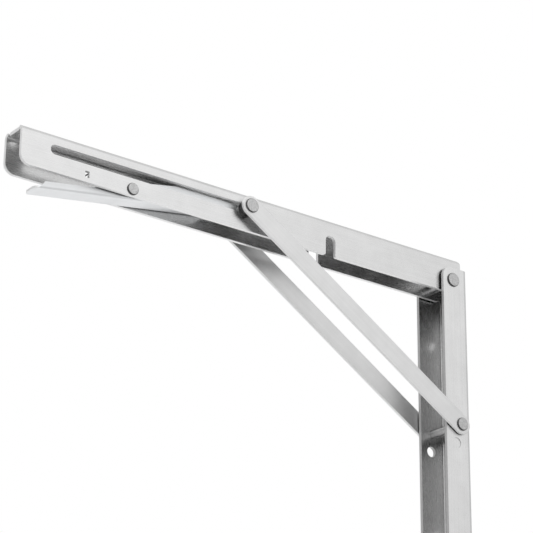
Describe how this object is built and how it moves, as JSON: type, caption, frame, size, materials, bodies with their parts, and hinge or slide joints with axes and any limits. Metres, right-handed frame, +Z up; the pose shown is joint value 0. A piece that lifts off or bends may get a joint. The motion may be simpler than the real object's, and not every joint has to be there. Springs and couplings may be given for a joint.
{
  "type": "folding shelf bracket",
  "caption": "Folding wall bracket for a shelf: a slotted channel arm on a wall channel, two sliding brace bars and a sprung release lever.",
  "frame": {"origin": "on the wall face, in the bracket's middle plane, halfway between the two wall screw holes", "axes": "+X away from the wall along the open arm, +Y to the bracket's right side, +Z up"},
  "size_m": [0.3042, 0.031, 0.1876],
  "materials": {
    "brushed_sheet": "satin brushed stainless sheet, grain along the length",
    "turned_steel": "pressed stainless rivet heads and washers, slightly dull",
    "spring_wire": "drawn spring wire"
  },
  "bodies": {
    "wall_leg": {"wall_channel": "brushed_sheet", "main_pivot_rivet": "turned_steel", "foot_rivet": "turned_steel", "pivot_washer_right": "turned_steel", "pivot_washer_left": "turned_steel", "foot_washer_right": "turned_steel", "foot_washer_left": "turned_steel"},
    "arm": {"arm_channel": "brushed_sheet", "lever_rivet": "turned_steel", "lever_washer_right": "turned_steel", "lever_washer_left": "turned_steel", "lever_spring": "spring_wire"},
    "brace": {"brace_bar_right": "brushed_sheet", "brace_bar_left": "brushed_sheet", "brace_top_rivet_right": "turned_steel", "brace_top_rivet_left": "turned_steel"},
    "slide": {"slide_stud_right": "turned_steel", "slide_stud_left": "turned_steel", "slide_bush_right": "turned_steel", "slide_bush_left": "turned_steel"},
    "lever": {"release_lever": "brushed_sheet"}
  },
  "joints": [
    {"name": "arm_fold", "type": "hinge", "parent": "wall_leg", "child": "arm", "pos_m": [0.0112, 0, 0.0885], "axis": [0, 1, 0], "range_deg": [0, 90]},
    {"name": "brace_swing", "type": "hinge", "parent": "wall_leg", "child": "brace", "pos_m": [0.0089, 0, -0.001], "axis": [0, 1, 0], "range_deg": [0, 119.56]},
    {"name": "pin_slide", "type": "slide", "parent": "arm", "child": "slide", "axis": [1, 0, 0], "range_m": [0, 0.1193]},
    {"name": "lever_release", "type": "hinge", "parent": "arm", "child": "lever", "pos_m": [0.2351, 0, 0.0857], "axis": [0, -1, 0], "range_deg": [0, 9.2], "stiffness_Nm_per_rad": 0.15, "springref_deg": -20.05}
  ],
  "couplings": [
    {"joint": "brace_swing", "follows": "arm_fold", "ratio": 1.3285},
    {"joint": "pin_slide", "follows": "arm_fold", "m_per_rad": 0.075944}
  ]
}
